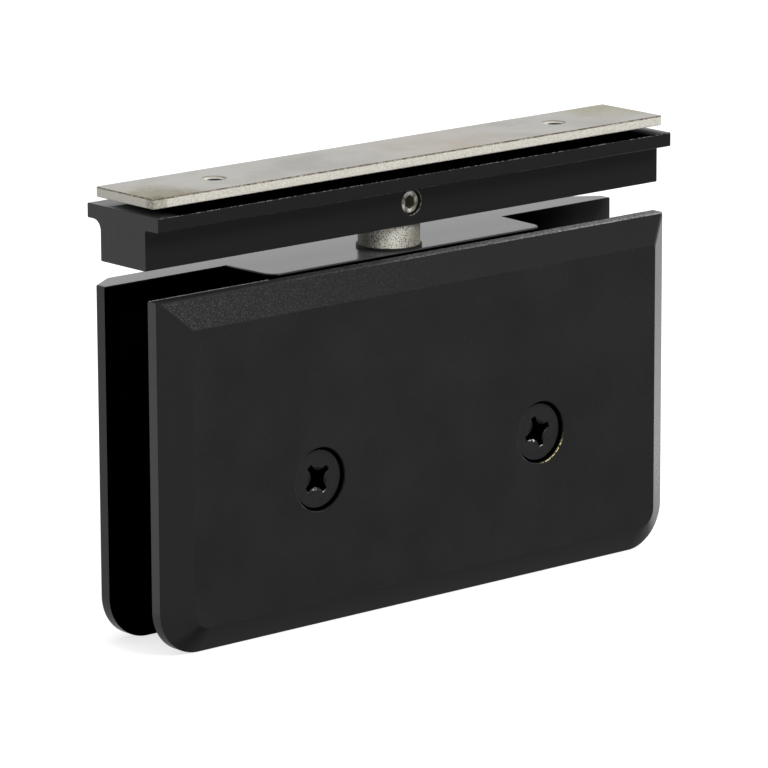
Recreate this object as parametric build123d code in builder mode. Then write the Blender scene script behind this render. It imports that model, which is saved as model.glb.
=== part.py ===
"""Header-mounted pivot hinge for a frameless glass door, in millimetres.

A black T-profile bar and a stainless nut plate clamp the header. A pivot pin, locked in
the bar by a set screw, carries the door leaf's body. The body and its cover plate clamp
the glass between two gaskets, and two sprung plungers press on the pin's flats to centre
the door. X runs along the plates, -Y is the cover's side, and +Z is up. The origin is on
the pin's axis, at the plates' bottom edge.
"""

import os
from math import radians, tan

from build123d import *

# ---- plates and block ----
plate_width = 130.0
plate_height = 69.5  # rear plate and block
cover_drop = 0.7  # the cover's top edge below the rear plate's
plate_land = 2.5  # thickness of the square edge
bevel_depth = 3.7
bevel_width = 5.5
corner_radius = 9.0  # the two bottom corners
mitre_round = 1.5  # where two bevels meet at a square corner
arris = 0.25  # softened edges under the coating
glass_gap = 13.0  # between the two plates
block_width = 71.0
block_height = 50.0
block_draft = 3.0  # degrees, on the sides and the bottom
block_round = 3.0

# ---- glass gaskets ----
gasket_thickness = 1.5
gasket_inset = 1.0  # from the plates' outline
gasket_relief = 0.8  # from the block

# ---- cover screws, flat head ----
cover_screw_spacing = 57.0
cover_screw_drop = 39.1  # below the cover's top edge
cover_screw_thread = 6.0
cover_screw_head = 11.3
cover_screw_length = 16.0
cover_screw_angle = 90.0
cover_screw_turns = {"left": 37.0, "right": 20.0}  # degrees, as they were left
recess_diameter = 12.5
recess_depth = 0.35  # straight wall above the seat's cone
cross_diameter = 6.6  # size 3 cross recess, across its wings
cross_arm = 1.3
cross_web = 1.9  # radius between two wings
cross_draft = 4.0  # degrees
cross_wing_depth = 2.6
cross_depth = 3.6
cross_tip = 3.6  # diameter where the wings end and the point begins

# ---- header bar and nut plate ----
bar_overhang = 0.5  # beyond the plates at each end
bar_gap = 5.0  # from the block's top to the bar
flange_depth = 21.2
flange_thickness = 2.8
stem_depth = 13.4
stem_height = 7.8
bar_front_root = 0.5  # fillets between the flange and the stem
bar_back_root = 2.1
header_gap = 1.3  # from the bar to the nut plate
nut_depth = 17.4
nut_thickness = 2.0
nut_corner = 0.5
header_screw_spacing = 87.0
header_screw_thread = 4.83
header_screw_head = 9.3
header_tip_drop = 0.22  # the screws' tips below the nut plate's top
header_screw_angle = 82.0
header_screw_turn = 20.0
header_cross_scale = 0.75  # size 2 cross recess against size 3
header_sink_diameter = 9.9  # countersink at the bar's underside

# ---- pivot pin and its bearings ----
collar_diameter = 12.2
spigot_diameter = 8.0
spigot_roof = 1.2  # left of the bar above the spigot
bore_wall = 0.97  # thinnest wall of the block, beside the upper bush
journal_shoulder = 0.5  # from the upper journal down to the lower one
pin_end_gap = 0.6  # from the pin's end to the bore's floor
step_gap = 0.5  # from the pin's step to the lower bush
flat_cut = 0.1  # the flats' depth below the lower journal
flat_height = 8.4
bush_wall = 1.0
upper_bush_length = 9.0
lower_bush_length = 9.0
pin_chamfer = 0.5
bore_floor_wall = 6.5  # of the block below the bore
washer_thickness = 0.5
washer_diameter = 12.9

# ---- pin set screw ----
set_screw_thread = 5.0
set_screw_length = 4.0
set_screw_sink = 0.5
set_screw_drop = 3.3  # below the flange's underside
set_screw_chamfer = 0.45
set_screw_key = 2.5

# ---- sprung plungers ----
plunger_drop = 21.0  # below the block's top
plunger_length = 12.0
nose_taper = 1.15
guide_stem_length = 4.0
spring_wire = 1.2
spring_turns = 5
plug_wall = 1.5  # of the block, beside a spring plug
plug_shoulder = 1.0  # from the plug's thread down to the plunger's bore
plug_length = 6.0
plug_sink = 1.5
plug_key = 5.0
plug_chamfer = 0.5

# ---- clearances, all radial or face to face ----
running_clearance = 0.03
thread_clearance = 0.02
seat_clearance = 0.02
shank_clearance = 0.2
tapped_runout = 1.0
plunger_clearance = 0.05
park_clearance = 0.05  # parked plunger to the turning pin
spring_clearance = 0.3
stem_clearance = 0.4

# ---- worked out ----
plate_thickness = plate_land + bevel_depth
half_gap = glass_gap / 2
cover_height = plate_height - cover_drop
cover_face = half_gap + plate_thickness
cover_screw_z = cover_height - cover_screw_drop
cover_sink = recess_depth + (recess_diameter - cover_screw_head) / 2 / tan(
    radians(cover_screw_angle / 2)
)
bar_length = plate_width + 2 * bar_overhang
bar_bottom = plate_height + bar_gap
flange_bottom = bar_bottom + stem_height
bar_top = flange_bottom + flange_thickness
nut_bottom = bar_top + header_gap
nut_top = nut_bottom + nut_thickness
header_sink = (header_sink_diameter - header_screw_head) / 2 / tan(
    radians(header_screw_angle / 2)
)
header_screw_length = nut_top - header_tip_drop - (bar_bottom + header_sink)
spigot_length = stem_height + flange_thickness - spigot_roof
bore_depth = block_height - bore_floor_wall
pin_depth = bore_depth - pin_end_gap  # from the block's top down to the pin's end
journal_step = bore_depth - lower_bush_length - step_gap
collar_bottom = plate_height + washer_thickness + running_clearance
upper_seat = glass_gap - 2 * bore_wall
upper_journal = upper_seat - 2 * (running_clearance + bush_wall)
lower_journal = upper_journal - 2 * journal_shoulder
bore_diameter = lower_journal + 2 * (running_clearance + bush_wall)
flat_size = lower_journal - 2 * flat_cut  # across opposite flats
bore_floor = plate_height - bore_depth
plunger_z = plate_height - plunger_drop
plunger_tip = upper_journal / 2 + park_clearance
plunger_back = plunger_tip + plunger_length
plug_thread = glass_gap - 2 * plug_wall
guide_bore = plug_thread - 2 * plug_shoulder
plunger_diameter = guide_bore - 2 * plunger_clearance
plunger_nose = plunger_diameter - 2 * nose_taper
plug_outer = block_width / 2 - plug_sink
plug_inner = plug_outer - plug_length
set_screw_z = flange_bottom - set_screw_drop
set_screw_face = stem_depth / 2 - set_screw_sink
set_screw_tip = set_screw_face - set_screw_length
spring_length = plug_inner - plunger_back
spring_diameter = guide_bore - 2 * spring_clearance
guide_stem_diameter = spring_diameter - 2 * (spring_wire + stem_clearance)
sides = {"left": -1, "right": 1}

os.makedirs("parts", exist_ok=True)


def save(builder, name):
    builder.part.label = name
    export_step(builder.part, f"parts/{name}.step")


def plate_outline(width, height, radius):
    """The plates' outline, standing on Z = 0, with both bottom corners rounded."""
    with BuildSketch() as outline:
        with Locations((0, height / 2)):
            Rectangle(width, height)
        fillet(outline.vertices().group_by(Axis.Y)[0], radius)
    return outline.sketch


def is_mitre(edge):
    """True for a straight edge that slants along all three axes, as where two bevels meet."""
    slant = edge.tangent_at(0.5)
    return edge.geom_type == GeomType.LINE and min(abs(slant.X), abs(slant.Y), abs(slant.Z)) > 0.1


# Cover plate: bevelled on all four sides, with two recessed screw seats.
seat_plane = Plane.XZ.offset(cover_face)
with BuildPart() as cover_plate:
    with BuildSketch(Plane.XZ.offset(half_gap)):
        add(plate_outline(plate_width, cover_height, corner_radius))
    extrude(amount=plate_thickness)
    front = cover_plate.faces().sort_by(Axis.Y)[0]
    chamfer(front.edges(), length=bevel_width, length2=bevel_depth, reference=front)
    fillet(cover_plate.edges().filter_by(is_mitre), mitre_round)
    fillet(cover_plate.edges() - cover_plate.edges().group_by(Axis.Y)[-1], arris)
    with Locations(seat_plane):
        with Locations((0, cover_screw_z)):
            with GridLocations(cover_screw_spacing, 0, 2, 1):
                Hole(recess_diameter / 2, depth=recess_depth)
    with Locations(seat_plane.offset(-recess_depth)):
        with Locations((0, cover_screw_z)):
            with GridLocations(cover_screw_spacing, 0, 2, 1):
                CounterSinkHole(
                    radius=cover_screw_thread / 2 + shank_clearance,
                    counter_sink_radius=recess_diameter / 2,
                    counter_sink_angle=cover_screw_angle,
                )
    cover_rims = cover_plate.edges().filter_by(GeomType.CIRCLE).group_by(Axis.Y)[0]
    chamfer(cover_rims, arris / 2)
save(cover_plate, "cover_plate")

# Rear body: one casting, a plate bevelled on three sides and the block that the pin turns in.
with BuildPart() as rear_body:
    with BuildSketch(Plane.XZ.offset(-half_gap)):
        add(plate_outline(plate_width, plate_height, corner_radius))
    extrude(amount=-plate_thickness)
    back = rear_body.faces().sort_by(Axis.Y)[-1]
    bevelled = back.edges().sort_by(Axis.Z)[:-1]
    chamfer(bevelled, length=bevel_width, length2=bevel_depth, reference=back)
    fillet(rear_body.edges() - rear_body.edges().group_by(Axis.Y)[0], arris)

    draft_rise = glass_gap * tan(radians(block_draft))
    block_low = plate_height - block_height
    with BuildSketch(Plane.XZ.offset(-half_gap)):
        with Locations((0, (block_low + plate_height + draft_rise) / 2)):
            Rectangle(block_width, block_height + draft_rise)
    extrude(amount=glass_gap, taper=block_draft)
    block_front = rear_body.faces().sort_by(Axis.Y)[0]
    fillet(block_front.edges().sort_by(Axis.Z)[:-1], block_round)
    split(bisect_by=Plane.XY.offset(plate_height), keep=Keep.BOTTOM)
    block_rim = rear_body.edges().group_by(Axis.Z)[-1].filter_by(lambda edge: edge.center().Y < half_gap)
    fillet(block_rim, arris)

    with Locations((0, 0, plate_height)):
        CounterBoreHole(
            radius=bore_diameter / 2,
            counter_bore_radius=upper_seat / 2,
            counter_bore_depth=upper_bush_length,
            depth=bore_depth,
        )
    with BuildSketch(Plane.YZ):
        with Locations((0, plunger_z)):
            Circle(guide_bore / 2)
    extrude(amount=plug_inner, both=True, mode=Mode.SUBTRACT)
    for side in sides.values():
        with BuildSketch(Plane.YZ.offset(side * plug_inner)):
            with Locations((0, plunger_z)):
                Circle(plug_thread / 2 + thread_clearance)
        extrude(amount=side * (block_width / 2 - plug_inner), mode=Mode.SUBTRACT)
    with Locations(Plane.XZ.offset(half_gap)):
        with Locations((0, cover_screw_z)):
            with GridLocations(cover_screw_spacing, 0, 2, 1):
                Hole(
                    cover_screw_thread / 2 + thread_clearance,
                    depth=cover_sink + cover_screw_length - plate_thickness + tapped_runout,
                )
save(rear_body, "rear_body")

# Glass gaskets: U-shaped pads on both inner faces, round the block.
gaskets = {"front_gasket": (1, cover_height), "rear_gasket": (-1, plate_height)}
for name, (facing, height) in gaskets.items():
    with BuildPart() as gasket:
        with BuildSketch(Plane.XZ.offset(facing * half_gap)):
            add(plate_outline(plate_width, height, corner_radius))
            offset(amount=-gasket_inset, mode=Mode.REPLACE)
            with Locations((0, height - (block_height + gasket_relief) / 2)):
                Rectangle(
                    block_width + 2 * gasket_relief,
                    block_height + gasket_relief,
                    mode=Mode.SUBTRACT,
                )
        extrude(amount=-facing * gasket_thickness)
    save(gasket, name)

# Cross recess of the flat-head screws: four wings with a rounded web between them, cut off by
# a blunt cone and ending in a point.
with BuildPart() as cross_recess:
    with BuildSketch() as cross:
        Rectangle(cross_diameter, cross_arm)
        Rectangle(cross_arm, cross_diameter)
        fillet(cross.vertices().sort_by_distance((0, 0))[:4], cross_web)
    extrude(amount=-cross_depth, taper=cross_draft)
    with BuildSketch(Plane.XZ):
        with BuildLine():
            Polyline(
                (0, 0),
                (cross_diameter / 2, 0),
                (cross_tip / 2, -cross_wing_depth),
                (0, -cross_depth),
                close=True,
            )
        make_face()
    revolve(axis=Axis.Z, mode=Mode.INTERSECT)


small_cross_recess = scale(cross_recess.part, by=header_cross_scale)


def flat_head_profile(thread, head, length, angle):
    """Half section of a flat-head screw: its face on Z = 0 and its shank downwards."""
    cone = (head - thread) / 2 / tan(radians(angle / 2))
    point = thread / 8  # chamfer at the thread's end
    with BuildSketch(Plane.XZ) as section:
        with BuildLine():
            Polyline(
                (0, 0),
                (head / 2, 0),
                (thread / 2, -cone),
                (thread / 2, -length + point),
                (thread / 2 - point, -length),
                (0, -length),
                close=True,
            )
        make_face()
    return section.sketch


# Cover screws: flat heads that sit on the seats' cones, turned as they were left.
for name, side in sides.items():
    with BuildPart() as upright_screw:
        add(
            flat_head_profile(
                cover_screw_thread, cover_screw_head, cover_screw_length, cover_screw_angle
            )
        )
        revolve(axis=Axis.Z)
        add(cross_recess.part, rotation=(0, 0, cover_screw_turns[name]), mode=Mode.SUBTRACT)
    seat = Plane.XZ.offset(cover_face - cover_sink)
    with BuildPart() as cover_screw:
        with Locations(seat):
            with Locations((side * cover_screw_spacing / 2, cover_screw_z)):
                add(upright_screw.part)
    save(cover_screw, f"cover_screw_{name}")

# Header bar: a T profile, tapped for the set screw, bored for the pin and countersunk from below.
with BuildPart() as header_bar:
    with BuildSketch(Plane.YZ) as profile:
        with Locations((0, bar_bottom + stem_height / 2)):
            Rectangle(stem_depth, stem_height)
        with Locations((0, flange_bottom + flange_thickness / 2)):
            Rectangle(flange_depth, flange_thickness)
        bottom_row, flange_row, top_row = profile.vertices().group_by(Axis.Y)
        fillet(bottom_row + top_row + flange_row.sort_by(Axis.X)[::3], arris)
        for root, radius in ((-stem_depth / 2, bar_front_root), (stem_depth / 2, bar_back_root)):
            corner = profile.vertices().sort_by_distance((root, flange_bottom))[0]
            fillet(corner, radius)
    extrude(amount=bar_length / 2, both=True)
    with Locations(Plane.XY.offset(bar_bottom).rotated((180, 0, 0))):
        Hole(spigot_diameter / 2 + seat_clearance, depth=spigot_length + seat_clearance)
        with GridLocations(header_screw_spacing, 0, 2, 1):
            CounterSinkHole(
                radius=header_screw_thread / 2 + shank_clearance,
                counter_sink_radius=header_sink_diameter / 2,
                counter_sink_angle=header_screw_angle,
            )
    with Locations(Plane.XZ.offset(stem_depth / 2)):
        with Locations((0, set_screw_z)):
            Hole(set_screw_thread / 2 + thread_clearance, depth=stem_depth / 2)
save(header_bar, "header_bar")

# Nut plate: a stainless strip with two tapped holes, drawn down by the header screws.
with BuildPart() as nut_plate:
    with BuildSketch(Plane.XY.offset(nut_bottom)):
        RectangleRounded(plate_width, nut_depth, nut_corner)
    extrude(amount=nut_thickness)
    nut_rims = nut_plate.edges().group_by(Axis.Z)
    fillet(nut_rims[0] + nut_rims[-1], arris)
    with Locations((0, 0, nut_top)):
        with GridLocations(header_screw_spacing, 0, 2, 1):
            Hole(header_screw_thread / 2 + thread_clearance)
save(nut_plate, "nut_plate")

# Header screws: flat heads in the bar's underside, their tips in the nut plate.
for name, side in sides.items():
    with BuildPart() as upright_screw:
        add(
            flat_head_profile(
                header_screw_thread, header_screw_head, header_screw_length, header_screw_angle
            )
        )
        revolve(axis=Axis.Z)
        add(small_cross_recess, rotation=(0, 0, header_screw_turn), mode=Mode.SUBTRACT)
    with BuildPart() as header_screw:
        with Locations(Plane.XY.offset(bar_bottom + header_sink).rotated((180, 0, 0))):
            with Locations((side * header_screw_spacing / 2, 0)):
                add(upright_screw.part)
    save(header_screw, f"header_screw_{name}")

# Pivot pin: a spigot locked in the bar, the collar that shows, and two journals with four
# flats milled between them, which the plungers press on at every quarter turn.
with BuildPart() as pivot_pin:
    with BuildSketch(Plane.XZ):
        with BuildLine():
            Polyline(
                (0, bar_bottom + spigot_length),
                (spigot_diameter / 2, bar_bottom + spigot_length),
                (spigot_diameter / 2, bar_bottom),
                (collar_diameter / 2, bar_bottom),
                (collar_diameter / 2, collar_bottom),
                (upper_journal / 2, collar_bottom),
                (upper_journal / 2, plate_height - journal_step),
                (lower_journal / 2, plate_height - journal_step),
                (lower_journal / 2, plate_height - pin_depth),
                (0, plate_height - pin_depth),
                close=True,
            )
        make_face()
    revolve(axis=Axis.Z)
    with BuildSketch(Plane.XY.offset(plunger_z - flat_height / 2)):
        Circle(upper_journal)
        Rectangle(flat_size, flat_size, mode=Mode.SUBTRACT)
    extrude(amount=flat_height, mode=Mode.SUBTRACT)
    with Locations(Plane.XZ.offset(spigot_diameter / 2)):
        with Locations((0, set_screw_z)):
            Hole(set_screw_thread / 2 + thread_clearance, depth=spigot_diameter / 2 - set_screw_tip)
    ends = [pivot_pin.edges().filter_by(GeomType.CIRCLE).sort_by(Axis.Z)[i] for i in (0, -1)]
    chamfer(ends, pin_chamfer)
save(pivot_pin, "pivot_pin")

# Pin set screw: a socket set screw in the front of the bar, its tip in the spigot's seat.
with BuildPart() as pin_set_screw:
    with BuildSketch(Plane.XZ.offset(set_screw_tip)):
        with Locations((0, set_screw_z)):
            Circle(set_screw_thread / 2)
    extrude(amount=set_screw_length)
    chamfer(pin_set_screw.edges().filter_by(GeomType.CIRCLE), set_screw_chamfer)
    with BuildSketch(Plane.XZ.offset(set_screw_face)):
        with Locations((0, set_screw_z)):
            RegularPolygon(set_screw_key / 2, 6, major_radius=False)
    extrude(amount=-set_screw_length / 2, mode=Mode.SUBTRACT)
save(pin_set_screw, "pin_set_screw")

# Thrust washer under the collar, and the two bushes pressed into the block's bore.
with BuildPart() as thrust_washer:
    with BuildSketch(Plane.XY.offset(plate_height)):
        Circle(washer_diameter / 2)
        Circle(upper_journal / 2 + shank_clearance, mode=Mode.SUBTRACT)
    extrude(amount=washer_thickness)
save(thrust_washer, "thrust_washer")

bushes = {
    "upper_bush": (plate_height - upper_bush_length, upper_bush_length, upper_seat, upper_journal),
    "lower_bush": (bore_floor, lower_bush_length - shank_clearance, bore_diameter, lower_journal),
}
for name, (low, length, outer, journal) in bushes.items():
    with BuildPart() as bush:
        with BuildSketch(Plane.XY.offset(low)):
            Circle(outer / 2 - seat_clearance)
            Circle(journal / 2 + running_clearance, mode=Mode.SUBTRACT)
        extrude(amount=length)
    save(bush, name)

# Plungers, springs and spring plugs, one of each on both sides of the pin.
for name, side in sides.items():
    with BuildPart() as plunger:
        with BuildSketch(Plane.XZ):
            with BuildLine():
                Polyline(
                    (side * plunger_tip, plunger_z),
                    (side * plunger_tip, plunger_z + plunger_nose / 2),
                    (side * (plunger_tip + nose_taper), plunger_z + plunger_diameter / 2),
                    (side * plunger_back, plunger_z + plunger_diameter / 2),
                    (side * plunger_back, plunger_z + guide_stem_diameter / 2),
                    (side * (plunger_back + guide_stem_length), plunger_z + guide_stem_diameter / 2),
                    (side * (plunger_back + guide_stem_length), plunger_z),
                    close=True,
                )
            make_face()
        revolve(axis=Axis((0, 0, plunger_z), (1, 0, 0)))
    save(plunger, f"plunger_{name}")

    first_turn = min(side * plunger_back, side * plug_inner) + spring_wire / 2
    coil_length = spring_length - spring_wire
    with BuildPart() as spring:
        with BuildLine():
            coil = Helix(
                coil_length / spring_turns,
                coil_length,
                (spring_diameter - spring_wire) / 2,
                center=(first_turn, 0, plunger_z),
                direction=(1, 0, 0),
            )
        with BuildSketch(Plane(coil @ 0, z_dir=coil % 0)):
            Circle(spring_wire / 2)
        sweep(is_frenet=True)
    save(spring, f"spring_{name}")

    with BuildPart() as spring_plug:
        with BuildSketch(Plane.YZ.offset(side * plug_inner)):
            with Locations((0, plunger_z)):
                Circle(plug_thread / 2)
        extrude(amount=side * plug_length)
        chamfer(spring_plug.edges().filter_by(GeomType.CIRCLE), plug_chamfer)
        with BuildSketch(Plane.YZ.offset(side * plug_outer)):
            with Locations((0, plunger_z)):
                RegularPolygon(plug_key / 2, 6, major_radius=False)
        extrude(amount=-side * plug_length / 2, mode=Mode.SUBTRACT)
    save(spring_plug, f"spring_plug_{name}")
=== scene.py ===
from math import cos, pi, radians

import bmesh
import bpy
from mathutils import Matrix, Vector


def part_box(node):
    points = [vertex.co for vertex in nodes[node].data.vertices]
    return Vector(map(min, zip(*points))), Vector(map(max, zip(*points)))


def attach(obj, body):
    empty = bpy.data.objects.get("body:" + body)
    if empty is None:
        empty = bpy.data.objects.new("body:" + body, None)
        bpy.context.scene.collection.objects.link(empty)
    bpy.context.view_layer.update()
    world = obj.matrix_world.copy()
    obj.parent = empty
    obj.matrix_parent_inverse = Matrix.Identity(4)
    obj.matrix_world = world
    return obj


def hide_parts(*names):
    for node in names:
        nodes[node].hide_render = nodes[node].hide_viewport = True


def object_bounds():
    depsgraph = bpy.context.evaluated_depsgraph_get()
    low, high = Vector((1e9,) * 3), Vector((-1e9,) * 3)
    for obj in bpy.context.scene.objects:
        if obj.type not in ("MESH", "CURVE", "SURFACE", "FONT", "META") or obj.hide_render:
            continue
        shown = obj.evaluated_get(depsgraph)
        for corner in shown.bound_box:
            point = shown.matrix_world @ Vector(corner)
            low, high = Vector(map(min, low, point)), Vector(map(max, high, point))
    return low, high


# Header-mounted pivot hinge for a frameless glass door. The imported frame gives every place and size,
# in metres: X runs along the plates, -Y is the cover's side and +Z is up.
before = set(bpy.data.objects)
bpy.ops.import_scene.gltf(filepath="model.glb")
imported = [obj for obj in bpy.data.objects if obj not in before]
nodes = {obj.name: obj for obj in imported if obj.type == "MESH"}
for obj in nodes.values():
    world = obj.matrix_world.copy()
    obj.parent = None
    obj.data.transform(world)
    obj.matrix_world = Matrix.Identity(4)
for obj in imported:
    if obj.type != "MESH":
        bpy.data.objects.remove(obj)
cadLow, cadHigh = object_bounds()
scene = bpy.context.scene
print("frame loaded:", len(nodes), "nodes")

millimetre = 0.001
coverLow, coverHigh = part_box("cover_plate")
barLow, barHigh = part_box("header_bar")
nutLow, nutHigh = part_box("nut_plate")


def hexColour(text):
    # sRGB hex to the linear values that the shaders take
    channels = [int(text[i : i + 2], 16) / 255 for i in (1, 3, 5)]
    linear = [c / 12.92 if c <= 0.04045 else ((c + 0.055) / 1.055) ** 2.4 for c in channels]
    return (*linear, 1.0)


def feed(tree, node, inputs):
    # inputs maps a socket's name or number to a value, or to the socket that feeds it
    for key, value in inputs.items():
        if isinstance(value, bpy.types.NodeSocket):
            tree.links.new(value, node.inputs[key])
        else:
            node.inputs[key].default_value = value


def addNode(tree, kind, inputs=None, **settings):
    node = tree.nodes.new("ShaderNode" + kind)
    for name, value in settings.items():
        setattr(node, name, value)
    feed(tree, node, inputs or {})
    return node


def span(*ends):
    # the inputs of a MapRange: two values, and what they become if that isn't 0 and 1
    return dict(zip(("From Min", "From Max", "To Min", "To Max"), ends))


def middleOf(name):
    # the middle of a node's box along X and Z
    low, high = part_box(name)
    return (low.x + high.x) / 2, (low.z + high.z) / 2


def newMaterial(name):
    # an empty node tree with its output, its shader and the Object coordinates
    material = bpy.data.materials.new(name)
    material.use_nodes = True
    tree = material.node_tree
    tree.nodes.clear()
    shader = addNode(tree, "BsdfPrincipled")
    addNode(tree, "OutputMaterial", {"Surface": shader.outputs["BSDF"]})
    place = addNode(tree, "TexCoord").outputs["Object"]
    return material, tree, shader, place


# the camera stands in front, to the left and a little above
cameraView = {
    "place": (-0.66242, -0.76480, 0.27796),
    "yaw": 40.8365,  # degrees, from +Y towards +X
    "pitch": -13.1386,
    "roll": -0.2513,
    "lens": 249.0,  # millimetres, as is the sensor
    "sensor": 36.0,
    "clip": (0.1, 50.0),
}
camera = bpy.data.objects.new("camera", bpy.data.cameras.new("camera"))
scene.collection.objects.link(camera)
camera.data.lens = cameraView["lens"]
camera.data.sensor_width = cameraView["sensor"]
camera.data.clip_start, camera.data.clip_end = cameraView["clip"]
camera.matrix_world = (
    Matrix.Translation(cameraView["place"])
    @ Matrix.Rotation(radians(-cameraView["yaw"]), 4, "Z")
    @ Matrix.Rotation(radians(90 + cameraView["pitch"]), 4, "X")
    @ Matrix.Rotation(radians(cameraView["roll"]), 4, "Z")
)
scene.camera = camera
print("camera placed")

# a pale floor, a white room and soft lamps
studio = {
    "floorSize": 12.0,
    "floorDrop": 0.05 * millimetre,  # under the lowest point of the hinge
    "floorColour": "#BEBEBE",
    "floorRoughness": 0.9,
    "floorGlow": 0.72,  # for the camera, over the lit floor
    "frontLevel": 0.18,  # what gloss sees of the dim side of the room
    "fadeFrom": -0.55,  # direction along Y where the dim side ends
    "fadeTo": 0.10,
    "floorFadeFrom": -0.02,  # metres along Y
    "floorFadeTo": 0.03,
    "fillLevel": 0.42,  # the room's diffuse light
}


def mirrorView(tree, along, start, end):
    # whether the camera or a mirror looks, and what the mirror sees: dim in front and white behind
    rays = addNode(tree, "LightPath").outputs
    mirrored = addNode(tree, "Math", {0: rays["Is Glossy Ray"], 1: rays["Is Transmission Ray"]},
                       operation="MAXIMUM").outputs[0]
    fade = addNode(tree, "MapRange", {"Value": along, **span(start, end, studio["frontLevel"], 1.0)},
                   interpolation_type="SMOOTHSTEP").outputs[0]
    return rays["Is Camera Ray"], mirrored, fade


def makeFloor():
    bm = bmesh.new()
    bmesh.ops.create_grid(bm, x_segments=1, y_segments=1, size=studio["floorSize"] / 2)
    bmesh.ops.translate(bm, verts=bm.verts, vec=(0, 0, cadLow.z - studio["floorDrop"]))
    mesh = bpy.data.meshes.new("floor")
    bm.to_mesh(mesh)
    bm.free()
    floor = bpy.data.objects.new("floor", mesh)
    scene.collection.objects.link(floor)
    # matt white studio paper: pale, shadowed, and white in what the metals mirror
    material, tree, shader, place = newMaterial("mattWhitePaper")
    feed(tree, shader, {"Base Color": hexColour(studio["floorColour"]),
                        "Roughness": studio["floorRoughness"], "Specular IOR Level": 0.0})
    along = addNode(tree, "SeparateXYZ", {0: place}).outputs["Y"]
    seen, mirrored, fade = mirrorView(tree, along, studio["floorFadeFrom"], studio["floorFadeTo"])
    mirroredGlow = addNode(tree, "Math", {0: mirrored, 1: fade}, operation="MULTIPLY").outputs[0]
    seenGlow = addNode(tree, "Math", {0: seen, 1: studio["floorGlow"]}, operation="MULTIPLY").outputs[0]
    glow = addNode(tree, "Math", {0: mirroredGlow, 1: seenGlow}, operation="ADD").outputs[0]
    lit = addNode(tree, "Emission", {"Color": (1, 1, 1, 1), "Strength": glow}).outputs[0]
    dark = addNode(tree, "Math", {0: 1.0, 1: mirrored}, operation="SUBTRACT").outputs[0]
    hidden = addNode(tree, "BsdfTransparent", {0: (0, 0, 0, 1)}).outputs[0]
    paper = addNode(tree, "MixShader", {0: dark, 1: hidden, 2: shader.outputs[0]}).outputs[0]
    both = addNode(tree, "AddShader", {0: paper, 1: lit}).outputs[0]
    output = next(n for n in tree.nodes if n.type == "OUTPUT_MATERIAL")
    tree.links.new(both, output.inputs["Surface"])
    mesh.materials.append(material)


makeFloor()


def makeWorld():
    world = bpy.data.worlds.new("studioRoom")
    scene.world = world
    world.use_nodes = True
    tree = world.node_tree
    tree.nodes.clear()
    direction = addNode(tree, "TexCoord").outputs["Generated"]
    along = addNode(tree, "SeparateXYZ", {0: direction}).outputs["Y"]
    seen, mirrored, fade = mirrorView(tree, along, studio["fadeFrom"], studio["fadeTo"])
    level = addNode(tree, "Mix", {0: mirrored, 2: studio["fillLevel"], 3: fade}).outputs[0]
    strength = addNode(tree, "Mix", {0: seen, 2: level, 3: 1.0}).outputs[0]
    background = addNode(tree, "Background", {"Color": (1, 1, 1, 1), "Strength": strength})
    addNode(tree, "OutputWorld", {"Surface": background.outputs[0]})


makeWorld()

lamps = {
    # direction from the hinge, distance and width in metres, power in watts
    "keyLamp": {"towards": (0.15, -0.72, 0.68), "distance": 1.6, "size": 0.8, "power": 17.0},
    "topLamp": {"towards": (-0.10, 0.25, 1.00), "distance": 1.5, "size": 1.2, "power": 8.0},
    "bevelLamp": {"towards": (0.255, -0.257, 0.322), "distance": 0.48, "size": 0.2, "power": 0.02},
}
lookAt = (cadLow + cadHigh) / 2
for name, lamp in lamps.items():
    light = bpy.data.lights.new(name, "AREA")
    light.shape = "DISK"
    light.size = lamp["size"]
    light.energy = lamp["power"]
    lampObject = bpy.data.objects.new(name, light)
    scene.collection.objects.link(lampObject)
    towards = Vector(lamp["towards"]).normalized()
    lampObject.location = lookAt + towards * lamp["distance"]
    lampObject.rotation_euler = towards.to_track_quat("Z", "Y").to_euler()
    lampObject.visible_camera = False
scene.view_settings.view_transform = "Standard"
print("studio ready")

# Screws, set screw and plugs have plain shanks in CAD. Each is made again here with its real thread,
# and a headed screw keeps its CAD head. Lengths are in millimetres.
threaded = {
    "segments": 32,
    "depth": 0.54,  # of the pitch, as on metric threads
    "crest": 0.06,  # of the pitch, half the flat crest
    "near": 0.01,  # of the pitch, how close to its end a rim is looked for
    "weld": 0.001,  # of the pitch, or of a millimetre on a CAD head
    "sharp": 28,  # degrees
    "kinds": {
        "header_screw": {"major": 4.83, "pitch": 0.8, "point": 0.6, "head": 2.57, "slot": "bright_steel",
                         "left": (0, 0, 1), "right": (0, 0, 1), "body": "header_side"},
        "cover_screw": {"major": 6.0, "pitch": 1.0, "point": 0.75, "head": 2.65, "slot": "black_screw",
                        "left": (0, 1, 0), "right": (0, 1, 0), "body": "door_side"},
        "spring_plug": {"major": 10.0, "pitch": 1.0, "point": 0.5, "key": 5.0, "keyDepth": 3.0,
                        "slot": "black_screw", "left": (1, 0, 0), "right": (-1, 0, 0),
                        "body": "door_side"},
        "pin_set_screw": {"major": 5.0, "pitch": 0.8, "point": 0.45, "key": 2.5, "keyDepth": 2.0,
                          "slot": "bright_steel", "": (0, 1, 0), "body": "header_side"},
    },
}


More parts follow.
